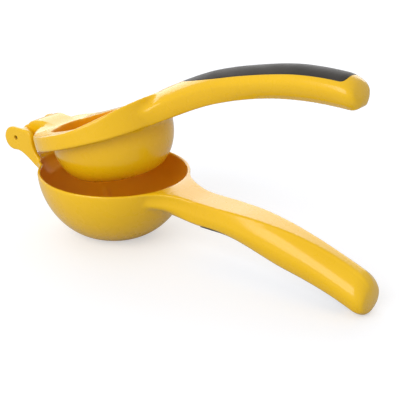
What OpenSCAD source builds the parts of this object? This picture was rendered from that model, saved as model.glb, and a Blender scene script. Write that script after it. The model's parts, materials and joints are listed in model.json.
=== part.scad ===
// Hinged lemon squeezer: a perforated bowl on a long handle, a press cup on a second
// handle, and a pin that joins the two at the far side of the bowl.
// X runs from the hinge to the handle ends, Z is up, and the origin is the middle of
// the bowl's foot, on the table. The part is drawn as photographed, partly open.

/* [Bowl] */
// Outside diameter of the bowl at its rim
rim_d = 76; // [70:0.5:84]
// Height of the rim above the table
bowl_h = 33.4; // [31:0.2:38]
// Diameter of the flat foot
foot_d = 21; // [16:0.5:26]
// Thickness of the bowl's wall at the rim
bowl_wall = 1.6; // [1.4:0.1:2.4]
// Thickness of the bowl's floor
floor_t = 2.4; // [2:0.1:3.2]
// Fullness of the bowl's side: 1 is a cone, 2 is an ellipse
bowl_fullness = 1.8; // [1.6:0.05:2.1]

/* [Drain holes] */
// Width of a drain slot
slot_w = 2; // [1.5:0.1:2.6]
// Length of a drain slot, outwards from the middle
slot_l = 4.2; // [3:0.1:5]
// Drain slots in the ring round the foot
slot_count = 10; // [6:1:12]
// Distance from the bowl's axis to the middle of a slot
slot_r = 14.2; // [13.6:0.1:15]
// Diameter of the round holes in the foot
floor_hole_d = 3; // [2:0.1:3.6]
// Round holes in the foot
floor_hole_count = 5; // [3:1:6]
// Distance from the bowl's axis to each round hole
floor_hole_r = 6.3; // [5:0.1:7]

/* [Press cup and ring] */
// Room for the peel between the press cup and the bowl, at the mouth
peel_gap = 6; // [4.6:0.1:7]
// Depth of the press cup below the ring
cup_depth = 21.6; // [18:0.2:23]
// Diameter of the flat under the press cup
cup_foot_d = 30; // [24:0.5:36]
// Thickness of the press cup's wall
cup_wall = 1.8; // [1.5:0.1:2.4]
// Lean of the press cup towards the hinge, so that it meets the fruit squarely
cup_tilt = 6; // [0:0.5:7]
// Room under the ring when the squeezer is shut
ring_gap = 1.8; // [1:0.1:3]
// Height of the ring at the hinge side
ring_h = 7.5; // [6.6:0.1:9]

/* [Hinge] */
// Distance from the bowl's axis to the hinge pin
hinge_reach = 54; // [52:0.5:58]
// Height of the hinge pin above the rim
hinge_lift = 8.5; // [8:0.1:10]
// Diameter of the barrel at the hinge
knuckle_d = 12.4; // [11.4:0.1:13.4]
// Width of the barrel, along the pin
knuckle_w = 18; // [15:0.5:20]
// Height of the ears at their rounded ends
ear_d = 12.6; // [12:0.1:13.6]
// How far the middle of an ear's rounded end lies beyond the pin
ear_nose = 1.8; // [0:0.1:2.4]
// Thickness of each ear
ear_t = 5.6; // [4.5:0.1:6.5]
// Gap between the barrel and each ear
ear_gap = 0.35; // [0.3:0.05:0.6]
// Diameter of the hinge pin
pin_d = 5; // [4:0.1:6]
// Running clearance all round the pin, in the barrel
pin_clearance = 0.05; // [0.03:0.01:0.09]
// Diameter of the small hole that the pin is driven out through
drift_hole_d = 2; // [1.6:0.1:2.6]
// Metal left behind the pin's closed end
pin_cover = 1.5; // [1.2:0.1:2]
// How far the squeezer stands open
open_angle = 18.9; // [0:0.1:60]

/* [Handles] */
// Distance from the bowl's axis to the lower handle's end
lower_reach = 146; // [140:0.5:152]
// Distance from the bowl's axis to the upper handle's end, when shut
upper_reach = 141.5; // [137:0.5:147]
// Gap between the two handles when shut
handle_gap = 8; // [7:0.1:11]
// Where the handles start to droop, from the bowl's axis
droop_start = 76; // [70:0.5:84]
// Widest half of the lower handle
lower_half_w = 10; // [9.4:0.1:11.5]
// Widest half of the upper handle
upper_half_w = 9.3; // [9:0.1:10.5]
// Thickness of the lower handle's neck, crown and all
lower_neck_t = 14; // [13:0.1:15]
// Thickness of the lower handle's palm, crown and all
lower_palm_t = 19.5; // [18:0.1:20.4]
// Thickness of the lower handle where its end rests on the table
lower_tip_t = 18.7; // [17.4:0.1:19.4]
// Thickness of the upper handle's neck, crown and all
upper_neck_t = 14; // [13.4:0.1:15]
// Thickness of the upper handle's palm, crown and all
upper_palm_t = 15; // [14:0.1:16]
// Height of the crown on each handle's outer face
crown_h = 3.7; // [3:0.1:4.2]

/* [Grips] */
// Where both grips start, from the bowl's axis
grip_start = 52; // [48:0.5:58]
// How far the upper grip stops short of its handle's end
upper_grip_setback = 3; // [2.4:0.1:6]
// How far the lower grip stops short of its handle's end
lower_grip_setback = 10; // [7:0.5:14]
// Length over which a grip widens from its point
grip_nose_l = 30; // [20:1:36]
// Widest half of a grip
grip_half_w = 7.5; // [6.6:0.1:7.9]
// Thickness of a grip at its middle
grip_t = 2.2; // [1.6:0.1:2.6]
// Fitting gap between a grip's side and its pocket
grip_fit = 0.1; // [0.05:0.01:0.2]
// Diameter of the studs that key a grip to its handle
stud_d = 5; // [4:0.1:6]
// Depth of the studs below the pocket's floor
stud_l = 3; // [2:0.1:3.6]

/* [Hidden] */

enamel = "gold";
rubber = "dimgray";
steel = "silver";
round_fn = 180;
bore_fn = 96;
small_fn = 36;

// Bowl, ring and cup
rim_r = rim_d / 2;
foot_r = foot_d / 2;
ring_r = rim_r + 0.15;
ring_z = bowl_h + ring_gap;
cup_r = rim_r - bowl_wall - peel_gap;
cup_foot_r = cup_foot_d / 2;
cup_fullness = 2;
cup_rise = 3.6;
ring_rise_x = 3;
ring_flat_x = 22;

// Hinge
hinge_z = bowl_h + hinge_lift;
ear_in = knuckle_w / 2 + ear_gap;
ear_out = ear_in + ear_t;
web_l = 4;
web_h = 6.5;
pin_end = ear_out - pin_cover;
pin_inset = 0.3;
pin_chamfer = 0.4;

// Handles: where along them the thickness and width change
handle_dip = 1.5;
dip_l = 20;
neck_end_x = 66;
palm_x = 106;
upper_neck_x = 44;
swell_x = 90;
swell_end_x = 120;
lower_cove_r = 11;
upper_cove_r = 14;
lower_flat_w = 8;
lower_flat_end_w = 3;
upper_flat_w = 7;
upper_flat_end_w = 4.5;
lower_neck_trim = 1.4;
lower_shoulder = 0.6;
upper_shoulder = 0.72;
grip_rim = 0.9;
inner_round = 0.7;

// Rounded handle ends
end_depth = 7;
end_corner = 4.8;
end_flat = 0.42;
end_dome = 0.5;
rest_inset = 3.2;
rest_flat = 0.12;

// The lower handle droops on the arc that lands its end on the table
lower_in_z = bowl_h - handle_dip;
upper_in_z = lower_in_z + handle_gap;
rest_x = lower_reach - rest_inset;
rest_drop = lower_in_z - lower_tip_t + end_lift(rest_x, lower_reach) + rest_flat;
droop_r = (pow(rest_x - droop_start, 2) + pow(rest_drop, 2)) / (2 * rest_drop);
upper_droop_start = droop_start - 3;
upper_droop_r = droop_r + 6;

// Grips
grip_back_l = 5;
grip_play = 0.02;
cut_over = 3;
stud_step = 24;
stud_root = 0.6;
stud_play = 0.4;
lower_grip_end = lower_reach - lower_grip_setback;
upper_grip_end = upper_reach - upper_grip_setback;

// ---- Helpers ------------------------------------------------------------------

// 0 to 1 between x0 and x1, easing in and out
function ramp(x, x0, x1) =
    let (t = max(0, min(1, (x - x0) / (x1 - x0)))) t * t * (3 - 2 * t);

// Drop of an arc of radius r that starts level at x0
function drop(x, x0, r) = x <= x0 ? 0 : r - sqrt(r * r - (x - x0) * (x - x0));

// Point at t on a quadratic curve from p to q, pulled towards c
function bend(p, c, q, t) = (1 - t) * (1 - t) * p + 2 * t * (1 - t) * c + t * t * q;

// Extra half width of a handle of half width w, where its side sweeps out in a cove of
// radius r that touches a round body of radius body_r
function cove(x, body_r, w, r) =
    let (x1 = sqrt(pow(body_r + r, 2) - pow(w + r, 2)),
         u = min(max(x1 - x, 0), x1 * r / (body_r + r)))
    r - sqrt(r * r - u * u);

function middle(ring) = [for (k = [0:2]) min([for (p = ring) p[k]]) + max([for (p = ring) p[k]])] / 2;

// Skin between rings of equally many points. Each end closes on a point, and the last one
// stands proud of its ring by dome
module loft(rings, dome = 0) {
    n = len(rings[0]);
    m = len(rings);
    start = n * m;
    end = start + 1;
    polyhedron(
        points = concat(
            [for (ring = rings) each ring],
            [middle(rings[0]), middle(rings[m - 1]) + [dome, 0, 0]]),
        faces = [for (j = [0:n - 1])
            let (k = (j + 1) % n) each concat(
                [[j, k, start]],
                [for (i = [0:m - 2]) each [
                    [i * n + j, (i + 1) * n + j, (i + 1) * n + k],
                    [i * n + j, (i + 1) * n + k, i * n + k]]],
                [[(m - 1) * n + k, (m - 1) * n + j, end]])]);
}

function reversed(list) = [for (i = [len(list) - 1:-1:0]) list[i]];

// A bar along Y, from y0 to y1, on the hinge's axis
module hinge_bar(d, y0, y1, fn = bore_fn) {
    translate([-hinge_reach, y0, hinge_z])
        rotate([-90, 0, 0])
            cylinder(d = d, h = y1 - y0, $fn = fn);
}

// A side view in X and Z, given thickness along Y from y0 to y1
module extrude_y(y0, y1) {
    translate([0, y1, 0])
        rotate([90, 0, 0])
            linear_extrude(y1 - y0)
                children();
}

// Turns what belongs to the upper arm from shut to the open angle, about the pin
module opened() {
    translate([-hinge_reach, 0, hinge_z])
        rotate([0, -open_angle, 0])
            translate([hinge_reach, 0, -hinge_z])
                children();
}

// ---- Bowl and cup: round bodies -------------------------------------------------

// Radius of a full-sided bowl at height z: r0 at its floor, r1 at its mouth
function bowl_radius(z, h, r0, r1, n) =
    r0 + (r1 - r0) * pow(1 - pow(1 - z / h, n), 1 / n);

// Half outline of such a bowl, with more points where it turns most
function bowl_outline(h, r0, r1, n, steps = 18) =
    [for (i = [0:steps]) let (z = h * pow(i / steps, 1.7)) [bowl_radius(z, h, r0, r1, n), z]];

module round_body(h, r0, r1, n, over = 0) {
    rotate_extrude($fn = round_fn)
        polygon(concat([[0, 0]], bowl_outline(h, r0, r1, n), [[r1, h + over], [0, h + over]]));
}

module bowl_inside() {
    translate([0, 0, floor_t])
        round_body(bowl_h - floor_t, foot_r - bowl_wall / 2, rim_r - bowl_wall,
            bowl_fullness, over = ring_h);
}

// A slot of depth h that runs outwards, with round ends
module slot(h) {
    half = (slot_l - slot_w) / 2;
    translate([-half, -slot_w / 2, 0])
        cube([2 * half, slot_w, h]);
    for (x = [-half, half])
        translate([x, 0, 0])
            cylinder(d = slot_w, h = h, $fn = small_fn);
}

// Straight down through the casting, as a mould's cores leave them
module drain_holes() {
    depth = bowl_h / 2;
    for (i = [0:slot_count - 1])
        rotate([0, 0, (i + 0.5) * 360 / slot_count])
            translate([slot_r, 0, -1])
                slot(depth);
    for (i = [0:floor_hole_count - 1])
        rotate([0, 0, i * 360 / floor_hole_count])
            translate([floor_hole_r, 0, -1])
                cylinder(d = floor_hole_d, h = depth, $fn = small_fn);
}

// ---- Handles: one section, lofted along each ---------------------------------------

// Half of a handle's section, from the middle of its flat inner face, round its side,
// to the top of the crown on its outer face. Points are [sideways, height].
function half_section(flat_w, half_w, h, shoulder) =
    let (edge = h - crown_h,
         lip_w = grip_half_w + grip_rim,
         toe = [flat_w, inner_round],
         side = [half_w, shoulder * edge],
         lip = [lip_w, edge])
    concat(
        [[0, 0], [flat_w - inner_round, 0]],
        [for (i = [0:5]) bend(toe, [half_w - inner_round, 0.42 * side[1]], side, i / 5)],
        [for (i = [1:3]) bend(side, [half_w, (edge + side[1]) / 2], lip, i / 3)],
        [for (i = [1:4]) let (y = lip_w * (1 - i / 4)) [y, edge + crown_h * (1 - pow(y / lip_w, 2))]]);

// How much of the end's rounding is used up at x, from 0 to 1
function end_turn(x, x_end) =
    let (t = max(0, min(1, 1 - (x_end - x) / end_depth))) 1 - sqrt(1 - t * t);

// How far the rounding lifts each face at x
function end_lift(x, x_end) = end_corner * end_turn(x, x_end);

// A point of a section of height h at x, drawn in where the handle's end is rounded over
function rounded(p, h, x, x_end) =
    [p[0] * (1 - (1 - end_flat) * end_turn(x, x_end)),
     h / 2 + (p[1] - h / 2) * (1 - 2 * end_lift(x, x_end) / h)];

// A whole ring of points at x. The outer face points up where up is 1, down where it is -1
function section_ring(half, h, x, x_end, z_in, up) =
    let (ends = [for (p = half) rounded(p, h, x, x_end)],
         right = [for (p = ends) [x, -p[0], z_in + up * p[1]]],
         left = [for (i = [len(ends) - 2:-1:1]) [x, ends[i][0], z_in + up * ends[i][1]]],
         ring = concat(right, left))
    up > 0 ? reversed(ring) : ring;

// Stations along a handle, closer together on the rounded end
function stations(x0, x_end) =
    concat(
        [for (i = [0:28]) x0 + (x_end - end_depth - x0) * i / 28],
        [for (i = [1:7]) x_end - end_dome - (end_depth - end_dome) * (1 - sin(i * 90 / 7))]);

// Lower handle: height of its inner face, its thickness, its inner flat and its side
function lower_in(x) =
    bowl_h - handle_dip * ramp(x, rim_r, rim_r + dip_l) - drop(x, droop_start, droop_r);
function lower_h(x) =
    lower_neck_t + (lower_palm_t - lower_neck_t) * ramp(x, neck_end_x, palm_x)
        - (lower_palm_t - lower_tip_t) * ramp(x, palm_x, rest_x);
function lower_flat(x) =
    lower_flat_w - (lower_flat_w - lower_flat_end_w) * ramp(x, neck_end_x, lower_reach - 12)
        + cove(x, rim_r, lower_flat_w, lower_cove_r);
function lower_side(x) =
    lower_half_w - lower_neck_trim * (1 - ramp(x, rim_r + 12, rim_r + 52))
        + cove(x, rim_r - 1.2, lower_half_w - lower_neck_trim, lower_cove_r);
function lower_half(x) = half_section(lower_flat(x), lower_side(x), lower_h(x), lower_shoulder);

module lower_handle() {
    loft([for (x = stations(rim_r / 2, lower_reach))
        section_ring(lower_half(x), lower_h(x), x, lower_reach, lower_in(x), -1)], end_dome);
}

// Upper handle, as it lies when shut
function upper_in(x) =
    ring_z + (upper_in_z - ring_z) * ramp(x, ring_flat_x, upper_droop_start)
        - drop(x, upper_droop_start, upper_droop_r);
function upper_h(x) =
    ring_h + (upper_neck_t - ring_h) * ramp(x, ring_rise_x, upper_neck_x)
        + (upper_palm_t - upper_neck_t) * ramp(x, swell_x, swell_end_x);
function upper_flat(x) =
    upper_flat_w - (upper_flat_w - upper_flat_end_w) * ramp(x, neck_end_x, palm_x)
        + cove(x, ring_r, upper_half_w, upper_cove_r);
function upper_side(x) = upper_half_w + cove(x, ring_r, upper_half_w, upper_cove_r);
function upper_half(x) = half_section(upper_flat(x), upper_side(x), upper_h(x), upper_shoulder);

module upper_handle() {
    loft([for (x = stations(ring_r - 8, upper_reach))
        section_ring(upper_half(x), upper_h(x), x, upper_reach, upper_in(x), 1)], end_dome);
}

// ---- Grips: a slice of the crown, let into a pocket ---------------------------------

// Half width of a grip at x: drawn to a point at its front, rounded at its back
function grip_w(x, end, grow) =
    let (front = min(1, (x - grip_start + grow) / grip_nose_l),
         back = min(1, (end - x + grow) / grip_back_l))
    max(0.25, (grip_half_w + grow)
        * min(pow(max(0, 1 - pow(1 - front, 2)), 0.6), sqrt(max(0, 1 - pow(1 - back, 2)))));

function grip_stations(end, grow) =
    let (x0 = grip_start - grow, x1 = end + grow)
    concat(
        [for (i = [0:7]) x0 + grip_nose_l * (1 - cos(i * 90 / 8))],
        [for (i = [0:12]) x0 + grip_nose_l + (x1 - grip_back_l - x0 - grip_nose_l) * i / 12],
        [for (i = [1:6]) x1 - grip_back_l * (1 - sin(i * 90 / 6))]);

// One ring of a grip: its face follows the handle's crown, its back lies deep below that
function grip_ring(x, w, z_in, h, x_end, face, deep, up) =
    let (n = 6,
         turn = rounded([1, h], h, x, x_end)[0],
         rise = function (y) rounded(
             [0, h - crown_h * pow(y / turn / (grip_half_w + grip_rim), 2)], h, x, x_end)[1],
         top = [for (i = [-n:n]) let (y = w * i / n) [x, y, z_in + up * (rise(y) + face)]],
         back = [for (i = [n:-2:-n]) let (y = w * i / n) [x, y, z_in + up * (rise(y) - deep)]],
         ring = concat(top, back))
    up > 0 ? reversed(ring) : ring;

module lower_grip_body(grow, face, deep) {
    loft([for (x = grip_stations(lower_grip_end, grow))
        grip_ring(x, grip_w(x, lower_grip_end, grow), lower_in(x), lower_h(x), lower_reach,
            face, deep, -1)]);
}

module upper_grip_body(grow, face, deep) {
    loft([for (x = grip_stations(upper_grip_end, grow))
        grip_ring(x, grip_w(x, upper_grip_end, grow), upper_in(x), upper_h(x), upper_reach,
            face, deep, 1)]);
}

// The three studs of a grip, about its middle. They stand in the handle by stud_l
module studs(end, d, extra, up) {
    middle = (grip_start + end) / 2;
    for (i = [-1:1]) {
        x = middle + i * stud_step;
        z = up > 0 ? upper_in(x) + upper_h(x) - grip_t : lower_in(x) - lower_h(x) + grip_t;
        translate([x, 0, z + (up > 0 ? -stud_l - extra : -stud_root)])
            cylinder(d = d, h = stud_root + stud_l + extra, $fn = small_fn);
    }
}

// ---- Pieces ---------------------------------------------------------------------

// Side view of an ear: round beyond the pin, with an arm that runs down to the bowl
module ear_side() {
    nose = [-hinge_reach - ear_nose, hinge_z - 0.4];
    root = [-rim_r - 1, bowl_h - 5.4];
    polygon(concat(
        [for (a = [80:10:270]) nose + ear_d / 2 * [cos(a), sin(a)]],
        [for (i = [1:6]) bend([nose[0] + 1.6, nose[1] - ear_d / 2], [-hinge_reach + 4, bowl_h + 3.1], root, i / 6)],
        [[-rim_r + 4, bowl_h - 8], [-rim_r + 3, bowl_h], [-rim_r - 4, bowl_h + 1.4]],
        [[-hinge_reach + 9.8, hinge_z - 4], [-hinge_reach + 8.6, hinge_z - 0.4],
         [-hinge_reach + 6.8, hinge_z + 4], [-hinge_reach + 4.5, hinge_z + 6.2]]));
}

module ears() {
    extrude_y(-ear_out, -ear_in)
        ear_side();
    extrude_y(ear_in, ear_out)
        ear_side();
    translate([-rim_r - web_l, -ear_in - 1, bowl_h - web_h])
        cube([2 * web_l, 2 * ear_in + 2, web_h]);
}

module pin_seats() {
    hinge_bar(pin_d, -pin_end, -ear_in + 1);
    hinge_bar(pin_d, ear_in - 1, ear_out + 1);
    hinge_bar(drift_hole_d, -ear_out - 1, -pin_end + 1, fn = small_fn);
}

module lower_arm() {
    color(enamel)
        difference() {
            union() {
                round_body(bowl_h, foot_r, rim_r, bowl_fullness);
                lower_handle();
                ears();
            }
            bowl_inside();
            drain_holes();
            pin_seats();
            lower_grip_body(grip_fit, cut_over, grip_t);
            studs(lower_grip_end, stud_d + 2 * grip_fit, stud_play, -1);
            translate([0, -rim_r, -rim_r])
                cube([2 * lower_reach, rim_d, rim_r]);
        }
}

// Side view of the ring: flat at the hinge, rising to the handle
module ring_side() {
    steps = 14;
    top_l = ring_r - ring_rise_x;
    under_l = ring_r - ring_flat_x;
    polygon(concat(
        [[-ring_r, ring_z], [-ring_r, ring_z + ring_h]],
        [for (i = [0:steps]) let (x = ring_rise_x + top_l * i / steps) [x, upper_in(x) + upper_h(x)]],
        [for (i = [steps:-1:0]) let (x = ring_flat_x + under_l * i / steps) [x, upper_in(x)]]));
}

// Side view of the neck between the ring and the barrel
module neck_side() {
    r = knuckle_d / 2;
    top = hinge_z + r;
    hump = 0.2;
    hump_l = 8;
    fall_l = 18;
    polygon(concat(
        [[-hinge_reach, hinge_z - r], [-hinge_reach, top]],
        [for (i = [0:8]) [-hinge_reach + hump_l + fall_l * i / 8,
            top + hump - (top + hump - ring_z - ring_h) * ramp(i, 0, 8)]],
        [[-ring_r + 10, ring_z], [-ring_r, ring_z]]));
}

// Places what is drawn with the cup's mouth at z = 0 and its depth downwards
module at_cup() {
    translate([0, 0, ring_z])
        rotate([0, cup_tilt, 0])
            translate([0, 0, -cup_depth])
                children();
}

module ring() {
    intersection() {
        translate([0, 0, ring_z])
            cylinder(r = ring_r, h = 2 * upper_neck_t, $fn = round_fn);
        extrude_y(-rim_d, rim_d)
            ring_side();
    }
}

module upper_arm() {
    color(enamel)
        opened()
            difference() {
                union() {
                    ring();
                    at_cup()
                        round_body(cup_depth, cup_foot_r, cup_r, cup_fullness, over = cup_rise);
                    hinge_bar(knuckle_d, -knuckle_w / 2, knuckle_w / 2);
                    extrude_y(-knuckle_w / 2, knuckle_w / 2)
                        neck_side();
                    upper_handle();
                }
                at_cup()
                    translate([0, 0, cup_wall])
                        round_body(cup_depth - cup_wall, cup_foot_r - cup_wall / 2,
                            cup_r - cup_wall, cup_fullness, over = 3 * ring_h);
                hinge_bar(pin_d + 2 * pin_clearance, -knuckle_w, knuckle_w);
                upper_grip_body(grip_fit, cut_over, grip_t);
                studs(upper_grip_end, stud_d + 2 * grip_fit, stud_play, 1);
            }
}

module hinge_pin() {
    r = pin_d / 2;
    l = pin_end + ear_out - pin_inset;
    color(steel)
        translate([-hinge_reach, -pin_end, hinge_z])
            rotate([-90, 0, 0])
                rotate_extrude($fn = bore_fn)
                    polygon([[0, 0], [r - pin_chamfer, 0], [r, pin_chamfer],
                        [r, l - pin_chamfer], [r - pin_chamfer, l], [0, l]]);
}

module lower_grip() {
    color(rubber)
        union() {
            lower_grip_body(0, 0, grip_t - grip_play);
            studs(lower_grip_end, stud_d, 0, -1);
        }
}

module upper_grip() {
    color(rubber)
        opened()
            union() {
                upper_grip_body(0, 0, grip_t - grip_play);
                studs(upper_grip_end, stud_d, 0, 1);
            }
}

lower_arm();
upper_arm();
hinge_pin();
lower_grip();
upper_grip();
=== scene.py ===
# %% [markdown]
# # A hinged lemon squeezer, enamelled yellow
#
# The squeezer is two aluminium castings that turn on one steel pin. The lower casting is a
# bowl with drain holes, on a long drooping handle. The upper casting is a ring with a hollow
# press cup under it, on a second handle that nests over the first. Each handle has a soft
# dark grip let into its outer face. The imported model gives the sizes, the pin's place and
# the motion. This script gives the castings their blended, enamelled skin and makes the grips.

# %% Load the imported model
import json
from math import cos, pi, radians, sin, sqrt
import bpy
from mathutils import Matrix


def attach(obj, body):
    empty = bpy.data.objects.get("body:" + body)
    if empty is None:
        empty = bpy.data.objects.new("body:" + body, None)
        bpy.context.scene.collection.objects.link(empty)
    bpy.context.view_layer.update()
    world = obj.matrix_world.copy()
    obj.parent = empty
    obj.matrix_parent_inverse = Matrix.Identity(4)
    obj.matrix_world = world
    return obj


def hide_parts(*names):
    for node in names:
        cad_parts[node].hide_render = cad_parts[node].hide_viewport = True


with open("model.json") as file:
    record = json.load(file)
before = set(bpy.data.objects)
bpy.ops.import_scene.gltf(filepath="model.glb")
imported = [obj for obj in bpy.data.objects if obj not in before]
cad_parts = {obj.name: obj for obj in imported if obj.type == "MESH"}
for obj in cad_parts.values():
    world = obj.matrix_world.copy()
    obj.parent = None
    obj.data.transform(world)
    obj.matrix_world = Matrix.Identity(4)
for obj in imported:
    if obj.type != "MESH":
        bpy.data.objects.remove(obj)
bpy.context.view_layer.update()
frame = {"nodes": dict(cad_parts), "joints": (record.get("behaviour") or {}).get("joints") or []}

from types import SimpleNamespace

import bmesh
import bpy
from mathutils import Matrix, Vector
from mathutils.kdtree import KDTree

MM = 0.001

# %% [markdown]
# The pin's place and the angle that the squeezer stands open at are read from the packed
# record, so both castings stay true to the joint that moves them. The upper arm is modelled
# shut, where its ring lies level, and is turned open about the pin at the very end. Sizes
# are written in millimetres, and points are turned into metres where they are placed.

# %% Find the hinge
HINGE = frame["joints"][0]
PIN = Vector(HINGE["pos_m"])
OPEN = -radians(HINGE["range_deg"][0])
TO_PIN = Matrix.Translation(PIN)
OPENED = TO_PIN @ Matrix.Rotation(-OPEN, 4, "Y") @ TO_PIN.inverted()
print("Pin at", [round(v / MM, 1) for v in PIN], "mm")
print("Open by", round(OPEN * 180 / pi, 1), "degrees")

# %% [markdown]
# The camera comes first, because it says what the picture shows. It stands in front of the
# squeezer, on the side of the handles, a little more than half a metre away, and looks down
# at it by some 22 degrees through a long lens, as product pictures are taken.

# %% Place the camera
CAMERA_AT = (0.3122, -0.3494, 0.2098)
CAMERA_RIGHT = (0.80084, 0.59878, 0.01087)
CAMERA_UP = (-0.23690, 0.30006, 0.92404)
CAMERA_BACK = (0.55004, -0.74258, 0.38215)
turn = Matrix((CAMERA_RIGHT, CAMERA_UP, CAMERA_BACK)).transposed().to_euler()
bpy.ops.object.camera_add(location=CAMERA_AT, rotation=turn)
camera = bpy.context.object
camera.data.lens = 90
camera.data.sensor_width = 36
camera.data.clip_start = 0.01
bpy.context.scene.camera = camera
print("Camera", round(Vector(CAMERA_AT).length, 3), "m from the bowl's foot")

# %% [markdown]
# Most forms here start as a flat outline: a circle with one corner for each point of the
# outline, whose corners are then pulled into place. Spun about an axis it is a turned body,
# extruded it is a plate, and extruded station by station it is a handle.

# %% Helpers for outlines
def pick(*pieces):
    """Selects these pieces and nothing else. The first is the one that is worked on."""
    bpy.ops.object.select_all(action="DESELECT")
    for piece in pieces:
        piece.select_set(True)
    bpy.context.view_layer.objects.active = pieces[0]


def outline_of(name, points, fill="NOTHING"):
    """A closed outline through points in millimetres."""
    bpy.ops.object.select_all(action="DESELECT")
    bpy.ops.mesh.primitive_circle_add(vertices=len(points), radius=0.01, fill_type=fill)
    piece = bpy.context.object
    piece.name = name
    for corner, point in zip(piece.data.vertices, points):
        corner.co = Vector(point) * MM
    return piece


def spin_up(name, chain, steps=144):
    """A turned body. The chain of [radius, height] starts and ends on the Z axis."""
    piece = outline_of(name, [(r, 0, z) for r, z in chain])
    bpy.ops.object.mode_set(mode="EDIT")
    bpy.ops.mesh.select_mode(type="EDGE")
    body = bmesh.from_edit_mesh(piece.data)
    for edge in body.edges:
        edge.select_set(all(abs(v.co.x) < 1e-9 for v in edge.verts))
    bmesh.update_edit_mesh(piece.data)
    bpy.ops.mesh.delete(type="EDGE")
    bpy.ops.mesh.select_all(action="SELECT")
    bpy.ops.mesh.spin(steps=steps, angle=2 * pi, center=(0, 0, 0), axis=(0, 0, 1))
    bpy.ops.mesh.select_all(action="SELECT")
    bpy.ops.mesh.remove_doubles(threshold=1e-6)
    bpy.ops.mesh.normals_make_consistent(inside=False)
    bpy.ops.object.mode_set(mode="OBJECT")
    return piece


# %% [markdown]
# The bowl is a full-sided dish: level where it leaves its small foot, upright at its rim. It
# is 76 mm wide, which holds half a lemon. One chain of points runs out along the foot, up
# the outside, over the rounded lip and down the inside, and is spun about the bowl's axis.

# %% Spin the bowl
RIM_R, RIM_Z, FOOT_R, WALL, FLOOR, FULLNESS = 38, 33.4, 10.5, 1.6, 2.4, 1.8


def dish(z, h, r0, r1, fullness):
    """Radius of a full-sided dish at height z: r0 at its floor, r1 at its mouth."""
    return r0 + (r1 - r0) * (1 - (1 - z / h) ** fullness) ** (1 / fullness)


def dish_chain(h, r0, r1, fullness, top, steps=30):
    """The dish's side from its floor to the height top, with more points near the floor."""
    heights = [top * (i / steps) ** 1.7 for i in range(steps + 1)]
    return [(dish(z, h, r0, r1, fullness), z) for z in heights]


LIP = WALL / 2
outside = dish_chain(RIM_Z, FOOT_R, RIM_R, FULLNESS, RIM_Z - LIP)
lip = [(RIM_R - LIP + LIP * cos(radians(a)), RIM_Z - LIP + LIP * sin(radians(a)))
       for a in range(20, 180, 20)]
inside = [(r, z + FLOOR) for r, z in dish_chain(
    RIM_Z - FLOOR, FOOT_R - LIP, RIM_R - WALL, FULLNESS, RIM_Z - FLOOR - LIP)]
bowl = spin_up("bowl", [(0, 0), (FOOT_R / 2, 0)] + outside + lip + inside[::-1]
               + [(FOOT_R / 2, FLOOR), (0, FLOOR)])
print("Bowl:", len(bowl.data.vertices), "points")

# %% [markdown]
# A handle grows out of the bowl's side. What lies inside the bowl has to go, so a plug in
# the shape of the bowl's inside, half a wall wider, is spun too. It cuts the handle and the
# hinge's parts off within the wall.

# %% Spin the plug that clears the bowl's inside
def combine(piece, tool, operation, keep_tool):
    """Unites a tool with the piece, or takes the tool's shape out of it."""
    pick(piece)
    modifier = piece.modifiers.new("Combine", "BOOLEAN")
    modifier.object = tool
    modifier.operation = operation
    modifier.solver = "EXACT"
    bpy.ops.object.modifier_apply(modifier=modifier.name)
    if not keep_tool:
        bpy.data.objects.remove(tool)


def cut(piece, cutter, keep_cutter=False):
    """Takes the cutter's shape out of the piece."""
    combine(piece, cutter, "DIFFERENCE", keep_cutter)


PLUG_TOP = RIM_Z + 9
plug = spin_up("plug", [(0, FLOOR + LIP)]
               + [(r + LIP, z + FLOOR) for r, z in dish_chain(
                   RIM_Z - FLOOR, FOOT_R - LIP, RIM_R - WALL, FULLNESS, RIM_Z - FLOOR)][2:]
               + [(RIM_R - LIP, PLUG_TOP), (0, PLUG_TOP)])
print("Plug:", len(plug.data.vertices), "points")

# %% [markdown]
# Both handles are one section, changed little by little along their length. The inner face
# is flat, so that the handles nest. The sides lean out to a shoulder and in again to the
# rim of the grip, and the outer face is crowned to fill the palm. The handles leave the bowl
# level, droop on a long arc, and sweep out in a cove where they meet the round body.

# %% Say how the handles run
HANDLE_DIP, HANDLE_GAP, DROOP_START = 1.5, 8, 76
CROWN, GRIP_HALF, GRIP_RIM, CORNER = 3.7, 7.5, 0.9, 0.7
LOWER_END, UPPER_END = 146, 142
REST_X, REST_DROP, UPPER_DROOP_R = 142.8, 13.92, 168.2
LOWER_COVE, UPPER_COVE = 30, 17
HANDLE_T, LOWER_SWELL, LOWER_TAPER, UPPER_SWELL = 14, 5.5, 0.8, 1
LOWER_FLAT, LOWER_SIDE, LOWER_WAIST, LOWER_SHOULDER = 8, 10, 1.4, 0.6
UPPER_FLAT, UPPER_SIDE, UPPER_SHOULDER = 7, 9.3, 0.72
PALM_START, PALM_FULL = 66, 106
DROOP_R = ((REST_X - DROOP_START) ** 2 + REST_DROP ** 2) / (2 * REST_DROP)
RING_R, RING_Z, RING_H, RING_LIFT = 38.15, 35.2, 7.5, 2.8


def ramp(x, x0, x1):
    """0 to 1 between x0 and x1, easing in and out."""
    t = max(0.0, min(1.0, (x - x0) / (x1 - x0)))
    return t * t * (3 - 2 * t)


def drop(x, x0, r):
    """Drop of an arc of radius r that starts level at x0."""
    return r - sqrt(r * r - max(0.0, x - x0) ** 2)


def cove(x, body_r, half_w, r):
    """Extra half width where a side sweeps out in a cove of radius r to a round body."""
    x1 = sqrt((body_r + r) ** 2 - (half_w + r) ** 2)
    u = min(max(x1 - x, 0.0), x1 * r / (body_r + r))
    return r - sqrt(r * r - u * u)


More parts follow.
